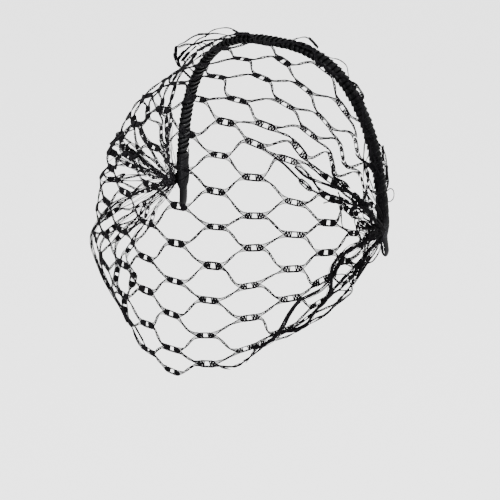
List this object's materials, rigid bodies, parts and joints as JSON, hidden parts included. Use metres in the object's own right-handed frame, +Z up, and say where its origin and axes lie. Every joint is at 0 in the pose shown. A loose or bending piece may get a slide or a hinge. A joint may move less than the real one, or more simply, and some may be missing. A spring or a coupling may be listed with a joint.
{
  "type": "bridal veil headband",
  "caption": "Arched headband with a wound ribbon cover and a short net veil of knotted diamond cells gathered at both ends.",
  "frame": {"origin": "underside of the band at the top of its arch, where it rests on the crown of a head", "axes": "+X to the wearer's left, -Y towards the face, +Z up"},
  "size_m": [0.1766, 0.1108, 0.1831],
  "materials": {
    "gloss_black_plastic": "glossy black moulded plastic",
    "wound_ribbon": "matt black ribbon wound in overlapping turns",
    "binding_ribbon": "smooth black ribbon with a faint sheen",
    "net_thread": "fine black net thread, matt with a faint sheen"
  },
  "bodies": {
    "root": {"headband_core": "gloss_black_plastic", "band_cover": "wound_ribbon", "end_wrap_left": "binding_ribbon", "end_wrap_right": "binding_ribbon", "veil_net": "net_thread"}
  },
  "joints": []
}
